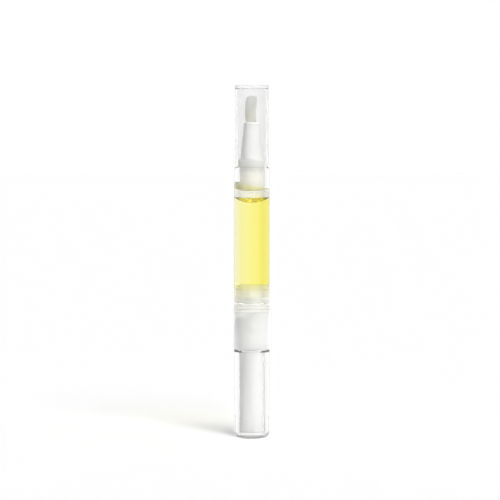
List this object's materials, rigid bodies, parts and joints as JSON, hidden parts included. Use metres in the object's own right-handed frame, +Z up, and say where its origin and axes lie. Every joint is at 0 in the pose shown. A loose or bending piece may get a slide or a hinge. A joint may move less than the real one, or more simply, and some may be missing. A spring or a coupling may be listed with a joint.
{
  "type": "twist oil pen",
  "caption": "Slim upright twist pen for nail oil: brush under a pull-off cap, clear barrel of yellow oil, and a clear knob that screws a piston up the barrel.",
  "frame": {"origin": "centre of the foot of the knob, on the surface that the pen stands on", "axes": "+Z up along the pen's axis from the knob to the cap, +X to the right and +Y away from the viewer of the picture"},
  "size_m": [0.012, 0.012, 0.1179],
  "materials": {
    "clear_plastic": "polished water-clear moulding",
    "cap_plastic": "smooth, very slightly hazy clear moulding",
    "natural_plastic": "translucent natural moulding, satin",
    "frosted_plastic": "frosted natural moulding",
    "white_plastic": "opaque white moulding, satin",
    "bristle": "fine natural nylon bristles wetted with oil",
    "oil": "clear yellow oil"
  },
  "bodies": {
    "pen_body": {"barrel": "clear_plastic", "brush_collar": "natural_plastic", "brush_nozzle": "white_plastic", "tuft_retainer": "white_plastic", "bristle_tuft": "bristle", "oil_fill": "oil", "middle_sleeve": "frosted_plastic", "screw_nut": "white_plastic", "click_ring": "white_plastic"},
    "cap": {"over_cap": "cap_plastic"},
    "knob": {"knob_shell": "clear_plastic", "drive_sleeve": "white_plastic"},
    "screw": {"drive_screw": "white_plastic"},
    "piston": {"piston": "natural_plastic"}
  },
  "joints": [
    {"name": "cap_pull", "type": "slide", "parent": "pen_body", "child": "cap", "axis": [0, 0, 1], "range_m": [0, 0.03]},
    {"name": "knob_turn", "type": "hinge", "parent": "pen_body", "child": "knob", "pos_m": [0, 0, 0], "axis": [0, 0, 1], "range_deg": [0, 3420]},
    {"name": "screw_advance", "type": "slide", "parent": "knob", "child": "screw", "axis": [0, 0, 1], "range_m": [0, 0.0285]},
    {"name": "piston_advance", "type": "slide", "parent": "pen_body", "child": "piston", "axis": [0, 0, 1], "range_m": [0, 0.0285], "deforming": ["oil_fill"]}
  ],
  "couplings": [
    {"joint": "screw_advance", "follows": "knob_turn", "m_per_rad": 0.00047746},
    {"joint": "piston_advance", "follows": "knob_turn", "m_per_rad": 0.00047746}
  ]
}
